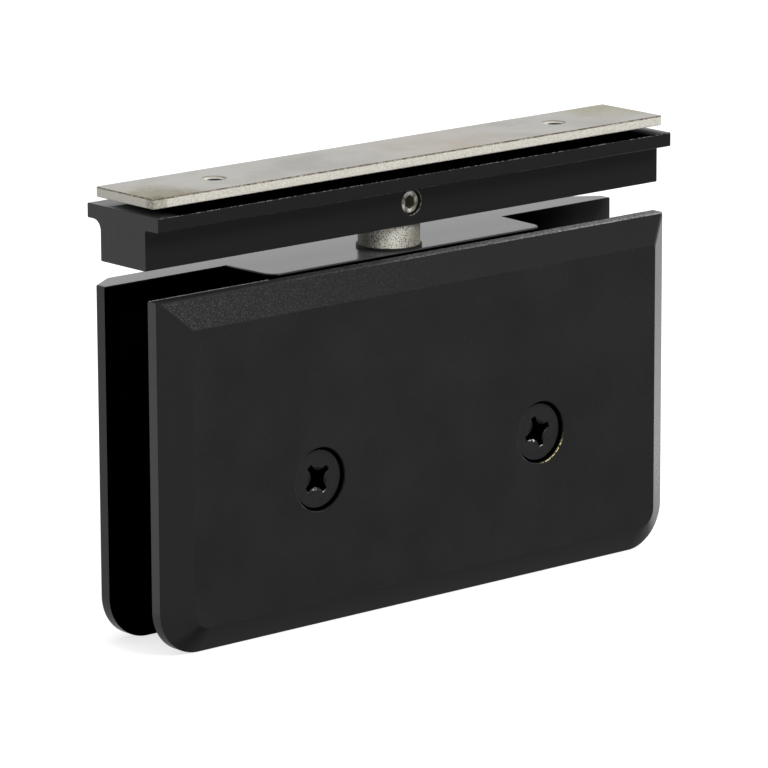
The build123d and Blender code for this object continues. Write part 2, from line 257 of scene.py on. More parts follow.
def threadedRod(kind, low, high):
    # a threaded rod from low to high along +Z, chamfered at its tip, and at its socket end if it has one
    pitch, major = kind["pitch"] * millimetre, kind["major"] / 2 * millimetre
    point, segments = kind["point"] * millimetre, threaded["segments"]
    crest = threaded["crest"] * pitch
    root = major - threaded["depth"] * pitch
    bm = bmesh.new()
    profile = ((root, 0), (major, pitch / 2 - crest), (major, pitch / 2 + crest), (root, pitch))
    verts = [bm.verts.new((reach, 0, low - pitch + height)) for reach, height in profile]
    edges = [bm.edges.new(pair) for pair in zip(verts, verts[1:])]
    turns = int((high - low) / pitch) + 2
    bmesh.ops.spin(bm, geom=verts + edges, cent=(0, 0, 0), axis=(0, 0, 1), dvec=(0, 0, pitch / segments),
                   angle=2 * pi * turns, steps=segments * turns)
    bmesh.ops.remove_doubles(bm, verts=bm.verts, dist=threaded["weld"] * pitch)
    for height, lowEnd in ((low, True), (high, False)):
        bmesh.ops.bisect_plane(bm, geom=bm.verts[:] + bm.edges[:] + bm.faces[:], plane_co=(0, 0, height),
                               plane_no=(0, 0, 1), clear_inner=lowEnd, clear_outer=not lowEnd)
    for vert in bm.verts:
        fromEnd = high - vert.co.z
        if "key" in kind:
            fromEnd = min(fromEnd, vert.co.z - low)
        reach = Vector((vert.co.x, vert.co.y)).length
        allowed = major - point + fromEnd
        if reach > allowed:
            vert.co.x, vert.co.y = vert.co.x * allowed / reach, vert.co.y * allowed / reach
    if "key" in kind:
        lowest = low + threaded["near"] * pitch
        rim = [edge for edge in bm.edges if edge.is_boundary and all(v.co.z < lowest for v in edge.verts)]
        socket = bmesh.ops.create_circle(bm, radius=kind["key"] / 2 / cos(pi / 6) * millimetre, segments=6,
                                         matrix=Matrix.Translation((0, 0, low)))["verts"]
        hexagon = list({edge for vert in socket for edge in vert.link_edges})
        bmesh.ops.triangle_fill(bm, edges=rim + hexagon, use_beauty=True)
        deep = bmesh.ops.extrude_edge_only(bm, edges=hexagon)["geom"]
        bmesh.ops.translate(bm, verts=[g for g in deep if isinstance(g, bmesh.types.BMVert)],
                            vec=(0, 0, kind["keyDepth"] * millimetre))
    bmesh.ops.holes_fill(bm, edges=[edge for edge in bm.edges if edge.is_boundary])
    return bm


def makeThreaded(name, kind, direction):
    direction = Vector(direction)
    low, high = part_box(name)
    middle, reach = (low + high) / 2, (high - low) / 2
    headFace = middle - direction * abs(reach.dot(direction))
    length = 2 * abs(reach.dot(direction))
    headHeight = kind.get("head", 0) * millimetre
    bm = threadedRod(kind, headHeight, length)
    turn = direction.to_track_quat("Z", "Y").to_matrix().to_4x4()
    bmesh.ops.transform(bm, matrix=Matrix.Translation(headFace) @ turn, verts=bm.verts)
    mesh = bpy.data.meshes.new("threaded_" + name)
    if headHeight:
        head = bmesh.new()
        head.from_mesh(nodes[name].data)
        bmesh.ops.remove_doubles(head, verts=head.verts, dist=threaded["weld"] * millimetre)
        bmesh.ops.bisect_plane(head, geom=head.verts[:] + head.edges[:] + head.faces[:],
                               plane_co=headFace + direction * headHeight, plane_no=direction,
                               clear_outer=True)
        bmesh.ops.holes_fill(head, edges=[edge for edge in head.edges if edge.is_boundary])
        head.to_mesh(mesh)
        head.free()
        bm.from_mesh(mesh)
    bmesh.ops.recalc_face_normals(bm, faces=bm.faces)
    bm.to_mesh(mesh)
    bm.free()
    mesh.shade_smooth()
    mesh.set_sharp_from_angle(angle=radians(threaded["sharp"]))
    piece = bpy.data.objects.new("threaded_" + name, mesh)
    scene.collection.objects.link(piece)
    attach(piece, kind["body"])
    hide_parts(name)
    return piece


# what shows for each node: the CAD piece, or the one that is made here in its place
looks = dict(nodes)
for kindName, kind in threaded["kinds"].items():
    for side in ("left", "right", ""):
        if side in kind:
            name = "_".join(filter(None, (kindName, side)))
            looks[name] = makeThreaded(name, kind, kind[side])
    print("threads cut:", kindName)


# Moulded rubber pads that bed the glass. Each is cut back from the CAD pad's outline, so that its soft
# edges stay inside the clamp, and it goes round the block in a U. Lengths are in millimetres.
gaskets = {
    "ends": 2.0, "foot": 2.0, "top": 4.5,  # cut back at the two ends, the foot and the two tops
    "notch": 36.3, "notchFoot": 18.7,  # half the gap round the block, and the height where it starts
    "corner": 6.0, "cornerSteps": 10,  # the two rounded feet
    "tight": 1.5, "tightSteps": 5,  # every other turn of the U
    "soften": 0.4, "softenSteps": 3,  # the rims
    "sharp": 40,  # degrees
    "rim": 57.3,  # degrees, the least turn at a rim that is softened
    "slot": "gasket_black", "body": "door_side", "pieces": ("front_gasket", "rear_gasket"),
}


def makeGasket(name):
    low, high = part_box(name)
    right, notch = high.x - gaskets["ends"] * millimetre, gaskets["notch"] * millimetre
    foot, top = low.z + gaskets["foot"] * millimetre, high.z - gaskets["top"] * millimetre
    notchFoot = gaskets["notchFoot"] * millimetre
    outline = ((-right, foot), (right, foot), (right, top), (notch, top), (notch, notchFoot),
               (-notch, notchFoot), (-notch, top), (-right, top))
    bm = bmesh.new()
    flat = bm.faces.new([bm.verts.new((x, low.y, z)) for x, z in outline])
    grown = bmesh.ops.extrude_face_region(bm, geom=[flat])["geom"]
    bmesh.ops.translate(bm, verts=[g for g in grown if isinstance(g, bmesh.types.BMVert)],
                        vec=(0, high.y - low.y, 0))
    through = [edge for edge in bm.edges if abs(edge.verts[0].co.y - edge.verts[1].co.y) > millimetre]
    outer = [edge for edge in through if edge.verts[0].co.z < foot + millimetre]
    inner = [edge for edge in through if edge not in outer]
    for edges, turn in ((outer, "corner"), (inner, "tight")):
        bmesh.ops.bevel(bm, geom=edges, offset=gaskets[turn] * millimetre, offset_type="OFFSET",
                        segments=gaskets[turn + "Steps"], profile=0.5, affect="EDGES", material=-1)
    rims = [edge for edge in bm.edges if abs(edge.verts[0].co.y - edge.verts[1].co.y) < millimetre / 100
            and edge.calc_face_angle(0) > radians(gaskets["rim"])]
    bmesh.ops.bevel(bm, geom=rims, offset=gaskets["soften"] * millimetre, offset_type="OFFSET",
                    segments=gaskets["softenSteps"], profile=0.5, affect="EDGES", material=-1)
    bmesh.ops.recalc_face_normals(bm, faces=bm.faces)
    mesh = bpy.data.meshes.new("moulded_" + name)
    bm.to_mesh(mesh)
    bm.free()
    mesh.shade_smooth()
    mesh.set_sharp_from_angle(angle=radians(gaskets["sharp"]))
    piece = bpy.data.objects.new("moulded_" + name, mesh)
    scene.collection.objects.link(piece)
    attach(piece, gaskets["body"])
    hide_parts(name)
    return piece


for name in gaskets["pieces"]:
    looks[name] = makeGasket(name)
print("gaskets moulded")


def dress(material, *names):
    for name in names:
        if not looks[name].material_slots:
            looks[name].data.materials.append(material)
        for slot in looks[name].material_slots:
            slot.material = material


def insideBox(tree, place, low, high, soft=0.02):
    # 1 inside the box from low to high and 0 outside, over a soft border, all in millimetres
    centre = [(a + b) / 2 * millimetre for a, b in zip(low, high)]
    half = [(b - a) / 2 * millimetre for a, b in zip(low, high)]
    offset = addNode(tree, "VectorMath", {0: place, 1: centre}, operation="SUBTRACT").outputs[0]
    size = addNode(tree, "VectorMath", {0: offset}, operation="ABSOLUTE").outputs[0]
    beyond = addNode(tree, "VectorMath", {0: size, 1: half}, operation="SUBTRACT").outputs[0]
    x, y, z = addNode(tree, "SeparateXYZ", {0: beyond}).outputs
    furthest = addNode(tree, "Math", {0: x, 1: y}, operation="MAXIMUM").outputs[0]
    furthest = addNode(tree, "Math", {0: furthest, 1: z}, operation="MAXIMUM").outputs[0]
    ends = span(-soft * millimetre, 0.0, 1.0, 0.0)
    return addNode(tree, "MapRange", {"Value": furthest, **ends}).outputs[0]


def aroundAxis(tree, place, centre, inner, outer, soft=0.05):
    # 1 between two radii about an axis along Y, in millimetres, and 0 elsewhere
    flat = addNode(tree, "VectorMath", {0: place, 1: (1, 0, 1)}, operation="MULTIPLY").outputs[0]
    axis = (centre[0], 0, centre[1])
    away = addNode(tree, "VectorMath", {0: flat, 1: axis}, operation="DISTANCE").outputs[1]
    middle, half = (inner + outer) / 2 * millimetre, (outer - inner) / 2 * millimetre
    offset = addNode(tree, "Math", {0: away, 1: middle}, operation="SUBTRACT").outputs[0]
    offset = addNode(tree, "Math", {0: offset}, operation="ABSOLUTE").outputs[0]
    ends = span(half - soft * millimetre, half, 1.0, 0.0)
    return addNode(tree, "MapRange", {"Value": offset, **ends}).outputs[0]


def facing(tree, direction, least=0.35, most=0.5):
    # 1 where the surface faces a direction, by the piece's own axes
    normal = addNode(tree, "TexCoord").outputs["Normal"]
    along = addNode(tree, "VectorMath", {0: normal, 1: direction}, operation="DOT_PRODUCT").outputs["Value"]
    return addNode(tree, "MapRange", {"Value": along, **span(least, most)}).outputs[0]


def paintOver(tree, colour, rough, layers):
    # each layer is a mask, its colour, as hex or as a socket, and its roughness
    for mask, layerColour, layerRough in layers:
        if isinstance(layerColour, str):
            layerColour = hexColour(layerColour)
        colour = addNode(tree, "Mix", {0: mask, 6: colour, 7: layerColour}, data_type="RGBA").outputs[2]
        rough = addNode(tree, "Mix", {0: mask, 2: rough, 3: layerRough}).outputs[0]
    return colour, rough


def patterns(tree, place, rows):
    # the noise that each row asks for: its cell in millimetres, its detail, and any stretch
    made = {}
    for name, row in rows.items():
        vector = place
        if "stretch" in row:
            vector = addNode(tree, "Mapping", {"Vector": place, "Scale": row["stretch"]}).outputs[0]
        made[name] = addNode(tree, "TexNoise", {
            "Vector": vector, "Scale": 1 / (row["cell"] * millimetre), "Detail": row["detail"],
            "Roughness": row.get("rough", 0.5),
        }).outputs[0]
    return made


def multiplied(tree, *factors):
    # the product of several masks
    product = factors[0]
    for factor in factors[1:]:
        product = addNode(tree, "Math", {0: product, 1: factor}, operation="MULTIPLY").outputs[0]
    return product


# Satin black powder coat over the cast body and the cover: a fine orange peel that breaks up the
# gloss. Its bevels and sides carry painted light and shade by the way they face, and the top bevel a
# painted sparkle. The tops of the body carry a painted sheen and the block's front step a painted
# highlight. The inside of the clamp is dead matt and painted near-black as shade, and lighter towards
# its open right end as painted light. The cover's top land is matt too, and carries a painted sheen that
# breaks into a bright speckle towards its right end, a painted highlight along its rear edge on the left,
# and a painted reflection of the pin. A chip on the right seat's rim shows the brass, painted as a bright
# glint. The real grain is about 0.1 mm, and is drawn coarser so that it shows. Places, radii and cells
# are in millimetres, and a pair is a colour with its roughness.
blackCoat = {
    "colour": "#212122", "worn": "#262627", "specular": 0.5, "ior": 1.43,
    "patterns": {
        "patch": {"cell": 14, "detail": 3.0}, "grain": {"cell": 0.28, "detail": 2.0},
        "peel": {"cell": 0.9, "detail": 1.0}, "rub": {"cell": 0.3, "detail": 3.0},
        "chips": {"cell": 0.5, "detail": 2.0},
    },
    "spans": {
        "tone": (0.35, 0.65), "rough": (0.3, 0.7, 0.20, 0.28), "chipped": (0.42, 0.5),
        "openEndLit": (38 * millimetre, 56 * millimetre), "fromLeft": (coverLow.x, coverHigh.x),
        "lowDown": (55 * millimetre, 5 * millimetre), "deep": (0.5, 1.0, 1.0, 0.5),
        "speckled": (0.40, 0.58, 0.1, 1.7), "specks": (0.5, 0.62), "reflectedPin": (0.0, 0.4),
    },
    "sides": {"top": (0, 0, 1), "bottom": (0, 0, -1), "left": (-1, 0, 0), "right": (1, 0, 0)},
    "zones": {  # low corner, high corner and soft border
        "inside": ((-70, -6.6, -1), (70, 6.6, 69.3), 0.1),
        "bodyTop": ((-70, -6.6, 69.35), (70, 12.4, 70), 0.05),
        "step": ((-35.6, -6.8, 69.1), (35.6, -6.3, 70), 0.05),
        "seam": ((-64.8, -6.85, 67.5), (64.8, -6.3, 69.25), 0.05),
        "land": ((-64.9, -9.3, 68.5), (64.9, -6.8, 69.0), 0.05),
        "rearLine": ((-64.8, -7.0, 68.5), (-36, -6.4, 69.0), 0.05),
        "pinReflection": ((-19, -9.3, 68.0), (-8, -6.9, 69.0), 2.0),
        "rearHalf": ((-70, 6.4, -1), (0, 14, 70), 0.1),
        "bevels": ((-64.95, -14, -1), (64.95, -8.8, 68.75), 0.05),
        "seats": ((-70, -12.69, 0), (70, -6, 70), 0.03),
    },
    # painted light and shade by facing: darker top and bottom bevels and rear left side, lighter left and
    # right bevels, a mitre tone between them, and a painted sparkle on the top bevel
    "topBevel": ("#121213", 0.24), "bevelSparkle": ("#363637", 0.3), "bottomBevel": ("#060606", 0.3),
    "leftBevel": ("#282829", 0.28), "rightBevel": ("#858587", 0.28), "rearSide": ("#060606", 0.32),
    "mitre": ("#2A2A2B", 0.9), "mitreFacing": (0.03, 0.1), "rearMatt": 0.25,
    # the inside is painted near-black as shade, and lighter towards its open right end as painted light
    "inside": "#010101", "openEndLight": "#3F3F40", "insideRoughness": 0.95,
    # a painted sheen on the tops, a painted highlight on the block's front step, and a painted reflection of
    # the pin for the land
    "tops": ("#4A4A4D", 0.22), "step": ("#303032", 0.5), "pinReflection": ("#080808", 0.9),
    # the land's painted sheen, dim and then a bright speckle, and black painted shade
    "dimLandTone": ("#2A2A2A", 0.9), "lightSpeckle": ("#9C9C9A", 0.9), "shade": ("#010101", 1.0),
    "screws": ("cover_screw_left", "cover_screw_right"), "seatRadius": 6.23,
    # a brass chip on the right seat's rim, painted as a bright glint
    "brassChipGlint": ("#F6EAB4", 0.35), "chipRim": (6.23, 6.36, 0.03),  # two radii and a soft border
    "chipLow": (-0.2, -16, 18), "chipHigh": (45, -9, -0.8),  # that X and that Z from the screw's axis
    "chipSoft": 2.0,
    "peelRelief": (0.25, 0.03 * millimetre), "grainRelief": (0.4, 0.02 * millimetre),
}


def makeCoat():
    material, tree, shader, place = newMaterial("satinBlackPowderCoat")
    x, _, z = addNode(tree, "SeparateXYZ", {0: place}).outputs
    noise = patterns(tree, place, blackCoat["patterns"])
    zone = {name: insideBox(tree, place, *box) for name, box in blackCoat["zones"].items()}
    side = {name: facing(tree, direction) for name, direction in blackCoat["sides"].items()}
    spans = {name: span(*ends) for name, ends in blackCoat["spans"].items()}
    sources = {"tone": noise["patch"], "rough": noise["grain"], "chipped": noise["chips"], "openEndLit": x,
               "fromLeft": x, "lowDown": z, "speckled": noise["rub"], "specks": noise["rub"],
               "reflectedPin": zone["pinReflection"]}
    mask = {name: addNode(tree, "MapRange", {"Value": source, **spans[name]}).outputs[0]
            for name, source in sources.items()}
    colour = addNode(tree, "Mix", {0: mask["tone"], 6: hexColour(blackCoat["colour"]),
                                   7: hexColour(blackCoat["worn"])}, data_type="RGBA").outputs[2]
    openEndLit = multiplied(tree, mask["openEndLit"], mask["openEndLit"])
    insideColour = addNode(tree, "Mix", {0: openEndLit, 6: hexColour(blackCoat["inside"]),
                                         7: hexColour(blackCoat["openEndLight"])}, data_type="RGBA").outputs[2]
    fromLeft = mask["fromLeft"]
    fromRight = addNode(tree, "Math", {0: 1.0, 1: fromLeft}, operation="SUBTRACT").outputs[0]
    deep = addNode(tree, "MapRange", {"Value": fromLeft, **spans["deep"]}).outputs[0]
    lightSpeckle = multiplied(tree, zone["land"], mask["speckled"], fromLeft, fromLeft)
    fading = multiplied(tree, fromRight, fromRight)
    bevels = zone["bevels"]
    rearSide = multiplied(tree, side["left"], zone["rearHalf"])
    mitre = multiplied(tree, bevels, *(facing(tree, blackCoat["sides"][name], *blackCoat["mitreFacing"])
                                       for name in ("left", "top")))
    layers = [
        # painted light and shade on each bevel and side, and a painted sparkle on the top bevel
        (multiplied(tree, side["top"], bevels, deep), *blackCoat["topBevel"]),
        (multiplied(tree, side["top"], bevels, fading, mask["specks"]), *blackCoat["bevelSparkle"]),
        (multiplied(tree, side["bottom"], bevels), *blackCoat["bottomBevel"]),
        (multiplied(tree, side["left"], bevels), *blackCoat["leftBevel"]),
        (multiplied(tree, side["right"], bevels, mask["lowDown"]), *blackCoat["rightBevel"]),
        (rearSide, *blackCoat["rearSide"]),
        (mitre, *blackCoat["mitre"]),
        # painted shade inside the clamp, lifted by painted light towards its open right end
        (zone["inside"], insideColour, blackCoat["insideRoughness"]),
        # a painted sheen on the body's tops, and a painted highlight on the block's front step
        (zone["bodyTop"], *blackCoat["tops"]),
        (zone["step"], *blackCoat["step"]),
        # the land made matt and painted with its sheen: dim at the left, a bright speckle growing towards the
        # right
        (zone["land"], *blackCoat["dimLandTone"]),
        (lightSpeckle, *blackCoat["lightSpeckle"]),
        # a painted reflection of the pin: a soft dark spot on the land beside it
        (multiplied(tree, mask["reflectedPin"], zone["land"]), *blackCoat["pinReflection"]),
        (zone["seam"], *blackCoat["shade"]),
        # a painted highlight along the land's rear edge, left of the block
        (multiplied(tree, zone["rearLine"], mask["speckled"]), *blackCoat["lightSpeckle"]),
    ]
    # what has no gloss at all: the seam, the land, the mitre, the inside and the screws' seats
    dull = [zone["seam"], zone["land"], mitre, multiplied(tree, rearSide, blackCoat["rearMatt"]),
            zone["inside"]]
    for name in blackCoat["screws"]:
        disc = aroundAxis(tree, place, middleOf(name), -1, blackCoat["seatRadius"])
        seat = multiplied(tree, disc, zone["seats"])
        layers.append((seat, *blackCoat["shade"]))
        dull.append(seat)
    matt = dull[0]
    for part in dull[1:]:
        matt = addNode(tree, "Math", {0: matt, 1: part}, operation="MAXIMUM").outputs[0]
    # the chip on the right seat's rim: brass, painted as a bright glint that tapers at its ends
    axis = middleOf(blackCoat["screws"][1])
    low, high = list(blackCoat["chipLow"]), list(blackCoat["chipHigh"])
    low[0] += axis[0] / millimetre
    high[2] += axis[1] / millimetre
    layers.append((multiplied(tree, aroundAxis(tree, place, axis, *blackCoat["chipRim"]),
                              insideBox(tree, place, low, high, blackCoat["chipSoft"]), mask["chipped"]),
                   *blackCoat["brassChipGlint"]))
    colour, rough = paintOver(tree, colour, mask["rough"], layers)

    raised = addNode(tree, "Math", {0: 1.0, 1: zone["bodyTop"]}, operation="SUBTRACT").outputs[0]
    strength, depth = blackCoat["peelRelief"]
    relief = addNode(tree, "Bump", {"Height": noise["peel"], "Strength": multiplied(tree, raised, strength),
                                    "Distance": depth}).outputs[0]
    strength, depth = blackCoat["grainRelief"]
    relief = addNode(tree, "Bump", {"Height": noise["grain"], "Strength": multiplied(tree, raised, strength),
                                    "Distance": depth, "Normal": relief}).outputs[0]
    specular = addNode(tree, "MapRange", {"Value": matt, **span(0, 1, blackCoat["specular"], 0)}).outputs[0]
    feed(tree, shader, {"Base Color": colour, "Roughness": rough, "Normal": relief,
                        "Specular IOR Level": specular, "IOR": blackCoat["ior"]})
    return material


dress(makeCoat(), "cover_plate", "rear_body")
print("coat ready")

# Black anodised extrusion: faint die lines along the bar, and rougher saw marks on its ends. A lighter
# broken line runs along the flange's front edge and along its foot. The stem is painted lighter just
# under the flange as painted light, and the top is painted black as shade under the nut plate. The bare
# rim right of the set screw's hole is painted as a bright glint. Real die lines are about 0.05 mm wide,
# and are drawn coarser so that they show. Places, radii and cells are in millimetres, and a pair is a
# colour with its roughness.
barFront, barTop = barLow.y / millimetre, barHigh.z / millimetre
blackBar = {
    "colour": "#1A1A1B", "line": "#1D1D1E", "ends": ("#0B0B0C", "#191919"), "endRoughness": 0.36,
    "specular": 0.5, "ior": 1.42,
    "patterns": {
        "lines": {"cell": 0.22, "detail": 2.0, "stretch": (0.01, 1.0, 1.0)},
        "sawMarks": {"cell": 0.35, "detail": 2.0, "stretch": (1.0, 1.0, 0.05)},
        "worn": {"cell": 0.6, "detail": 3.0},
    },
    "spans": {
        "onEnd": (barHigh.x - 0.1 * millimetre, barHigh.x - 0.02 * millimetre),
        "rising": (79.5 * millimetre, 82.3 * millimetre, 0.0, 0.9), "rough": (0.3, 0.7, 0.28, 0.34),
        "underNut": (65.2 * millimetre, 60 * millimetre), "endTone": (0.35, 0.65),
        "broken": (0.5, 0.6), "ringWear": (0.40, 0.52), "relief": (0, 1, 0.12, 0.5),
    },
    "zones": {  # low corner, high corner and soft border
        "frontEdge": ((-65.4, barFront - 1, barTop - 0.2), (65.4, barFront + 0.12, barTop + 1), 0.06),
        "nearHole": ((-1.2, -7.0, 70), (10, -6.3, 84), 0.8),
        "flangeFoot": ((-40, barFront - 1, barTop - 2.95), (65.4, barFront + 0.2, barTop - 2.6), 0.08),
        "litUnderFlange": ((-65.4, -8, 75.5), (65.4, -6, 84), 1.0),
        "underNut": ((-66, -12, barTop - 0.12), (66, 4.5, barTop + 1), 0.05),
    },
    "litUnderFlange": ("#2C2C2D", 0.34), "lightSpeckle": ("#6C6C6A", 0.5), "shade": ("#010101", 1.0),
    "bareRimGlint": ("#D8D2C0", 0.4), "bareRing": (2.47, 2.65), "footLineStrength": 0.45, "reliefDepth": 0.02,
}


def makeBar():
    material, tree, shader, place = newMaterial("blackAnodisedExtrusion")
    x, _, z = addNode(tree, "SeparateXYZ", {0: place}).outputs
    across = addNode(tree, "Math", {0: x}, operation="ABSOLUTE").outputs[0]
    noise = patterns(tree, place, blackBar["patterns"])
    zone = {name: insideBox(tree, place, *box) for name, box in blackBar["zones"].items()}
    spans = {name: span(*ends) for name, ends in blackBar["spans"].items()}
    sources = {"onEnd": across, "underNut": across, "rising": z, "endTone": noise["sawMarks"],
               "broken": noise["worn"], "ringWear": noise["worn"]}
    mask = {name: addNode(tree, "MapRange", {"Value": source, **spans[name]}).outputs[0]
            for name, source in sources.items()}
    onEnd, broken = mask["onEnd"], mask["broken"]
    marks = addNode(tree, "Mix", {0: onEnd, 2: noise["lines"], 3: noise["sawMarks"]}).outputs[0]
    colour = addNode(tree, "Mix", {0: marks, 6: hexColour(blackBar["colour"]),
                                   7: hexColour(blackBar["line"])}, data_type="RGBA").outputs[2]
    rough = addNode(tree, "MapRange", {"Value": marks, **spans["rough"]}).outputs[0]
    endDark, endLight = (hexColour(end) for end in blackBar["ends"])
    endColour = addNode(tree, "Mix", {0: mask["endTone"], 6: endDark, 7: endLight},
                        data_type="RGBA").outputs[2]
    ring = aroundAxis(tree, place, middleOf("pin_set_screw"), *blackBar["bareRing"])
    underNut = multiplied(tree, zone["underNut"], mask["underNut"])
    colour, rough = paintOver(tree, colour, rough, [
        # painted light on the stem just under the flange, against the shade there
        (multiplied(tree, zone["litUnderFlange"], mask["rising"]), *blackBar["litUnderFlange"]),
        (onEnd, endColour, blackBar["endRoughness"]),
        (multiplied(tree, zone["flangeFoot"], broken, blackBar["footLineStrength"]), *blackBar["lightSpeckle"]),
        (underNut, *blackBar["shade"]),
        (multiplied(tree, zone["frontEdge"], broken), *blackBar["lightSpeckle"]),
        # the bare rim right of the set screw's hole, painted as a bright glint
        (multiplied(tree, ring, zone["nearHole"], mask["ringWear"]), *blackBar["bareRimGlint"]),
    ])
    specular = addNode(tree, "MapRange", {"Value": underNut,
                                          **span(0, 1, blackBar["specular"], 0)}).outputs[0]
    strength = addNode(tree, "MapRange", {"Value": onEnd, **spans["relief"]}).outputs[0]
    relief = addNode(tree, "Bump", {"Height": marks, "Strength": strength,
                                    "Distance": blackBar["reliefDepth"] * millimetre}).outputs[0]
    feed(tree, shader, {"Base Color": colour, "Roughness": rough, "Normal": relief,
                        "Specular IOR Level": specular, "IOR": blackBar["ior"]})
    return material


dress(makeBar(), "header_bar")
print("bar ready")

# Mill-finish stainless strip: a soft cloudy top with rolling grain along it, old oil stains, and
# coarse sheared edges that scatter light almost as plaster does. The real grain is about 0.05 mm
# wide, and is drawn coarser so that it shows. Places, radii and cells are in millimetres.
nutFront, nutLeft, nutTop = nutLow.y / millimetre, nutLow.x / millimetre, nutHigh.z / millimetre
stainless = {
    "colour": "#AEABA6", "cloud": "#A09D96", "edge": "#E6E4DA", "edgeDark": "#CDC9BC",
    "edgeRoughness": 0.8, "edgeMetal": 0.15, "line": ("#5E5342", 0.7), "smudge": ("#5F5944", 0.7),
    "patterns": {
        "grain": {"cell": 0.3, "detail": 3.0, "stretch": (0.06, 1.0, 1.0)},
        "cloud": {"cell": 9, "detail": 4.0}, "shear": {"cell": 0.2, "detail": 2.0},
        "dirt": {"cell": 1.1, "detail": 5.0, "rough": 0.7}, "line": {"cell": 0.5, "detail": 3.0},
    },
    "spans": {
        "onTop": (nutHigh.z - 0.25 * millimetre, nutHigh.z - 0.05 * millimetre), "tone": (0.4, 0.7),
        "rough": (0.3, 0.7, 0.36, 0.46), "stained": (0.36, 0.58, 0.3, 1.0), "spread": (0.3, 0.6, 0.4, 1.0),
        "broken": (0.34, 0.58, 0.3, 1.0), "fleck": (0.40, 0.56), "relief": (0, 1, 0.25, 0.08),
    },
    "zones": {  # low corner, high corner and soft border
        "frontLine": ((nutLeft, nutFront - 1, nutTop - 0.36), (-nutLeft, nutFront + 0.2, nutTop + 1), 0.12),
        "leftLine": ((nutLeft - 1, nutFront, nutTop - 0.36), (nutLeft + 0.2, -nutFront, nutTop + 1), 0.12),
        "corner": ((nutLeft - 1, nutFront - 1, 80), (nutLeft + 3.6, nutFront + 2.6, nutTop + 1), 1.8),
    },
    "stainRoughness": 0.42, "reliefDepth": 0.06,
    "stains": {  # centre along X and Y, radius, strength and colour
        "oilLeft": {"at": (-63.5, -5.0), "radius": 11.0, "strength": 2.2, "colour": "#8B856F"},
        "oilFront": {"at": (-59, -9.5), "radius": 8.0, "strength": 1.8, "colour": "#7C755E"},
        "oilFar": {"at": (60, 6.5), "radius": 14.0, "strength": 1.8, "colour": "#9A967E"},
        "oilEnd": {"at": (66, 0.0), "radius": 7.0, "strength": 1.2, "colour": "#9A967E"},
        "rust": {"at": (12, -9.0), "radius": 22.0, "strength": 0.8, "colour": "#AA9C86"},
        "mottle": {"at": (-22, -2.0), "radius": 16.0, "strength": 0.9, "colour": "#95938E"},
    },
}


def makeStainless():
    material, tree, shader, place = newMaterial("millFinishStainless")
    noise = patterns(tree, place, stainless["patterns"])
    zone = {name: insideBox(tree, place, *box) for name, box in stainless["zones"].items()}
    spans = {name: span(*ends) for name, ends in stainless["spans"].items()}
    sources = {"onTop": addNode(tree, "SeparateXYZ", {0: place}).outputs["Z"], "tone": noise["cloud"],
               "rough": noise["grain"], "stained": noise["dirt"], "spread": noise["cloud"],
               "broken": noise["line"], "fleck": noise["shear"]}
    mask = {name: addNode(tree, "MapRange", {"Value": source, **spans[name]}).outputs[0]
            for name, source in sources.items()}
    onTop, broken = mask["onTop"], mask["broken"]
    topColour = addNode(tree, "Mix", {0: mask["tone"], 6: hexColour(stainless["colour"]),
                                      7: hexColour(stainless["cloud"])}, data_type="RGBA").outputs[2]
    layers = []
    for stain in stainless["stains"].values():
        centre = (stain["at"][0] * millimetre, stain["at"][1] * millimetre, nutHigh.z)
        away = addNode(tree, "VectorMath", {0: place, 1: centre}, operation="DISTANCE").outputs[1]
        ends = span(0.0, stain["radius"] * millimetre, stain["strength"], 0.0)
        spot = addNode(tree, "MapRange", {"Value": away, **ends}).outputs[0]
        spot = multiplied(tree, spot, mask["spread"], mask["stained"])
        layers.append((spot, stain["colour"], stainless["stainRoughness"]))
    topColour, topRough = paintOver(tree, topColour, mask["rough"], layers)
    edgeColour = addNode(tree, "Mix", {0: mask["fleck"], 6: hexColour(stainless["edgeDark"]),
                                       7: hexColour(stainless["edge"])}, data_type="RGBA").outputs[2]
    colour = addNode(tree, "Mix", {0: onTop, 6: edgeColour, 7: topColour}, data_type="RGBA").outputs[2]
    rough = addNode(tree, "Mix", {0: onTop, 2: stainless["edgeRoughness"], 3: topRough}).outputs[0]
    colour, rough = paintOver(tree, colour, rough, [
        (multiplied(tree, zone["corner"], broken), *stainless["smudge"]),
        (multiplied(tree, zone["frontLine"], broken), *stainless["line"]),
        (multiplied(tree, zone["leftLine"], broken), *stainless["line"]),
    ])
    metal = addNode(tree, "Mix", {0: onTop, 2: stainless["edgeMetal"], 3: 1.0}).outputs[0]
    height = addNode(tree, "Mix", {0: onTop, 2: noise["shear"], 3: noise["grain"]}).outputs[0]
    strength = addNode(tree, "MapRange", {"Value": onTop, **spans["relief"]}).outputs[0]
    relief = addNode(tree, "Bump", {"Height": height, "Strength": strength,
                                    "Distance": stainless["reliefDepth"] * millimetre}).outputs[0]
    feed(tree, shader, {"Base Color": colour, "Roughness": rough, "Normal": relief, "Metallic": metal})
    return material


dress(makeStainless(), "nut_plate")
print("nut plate ready")

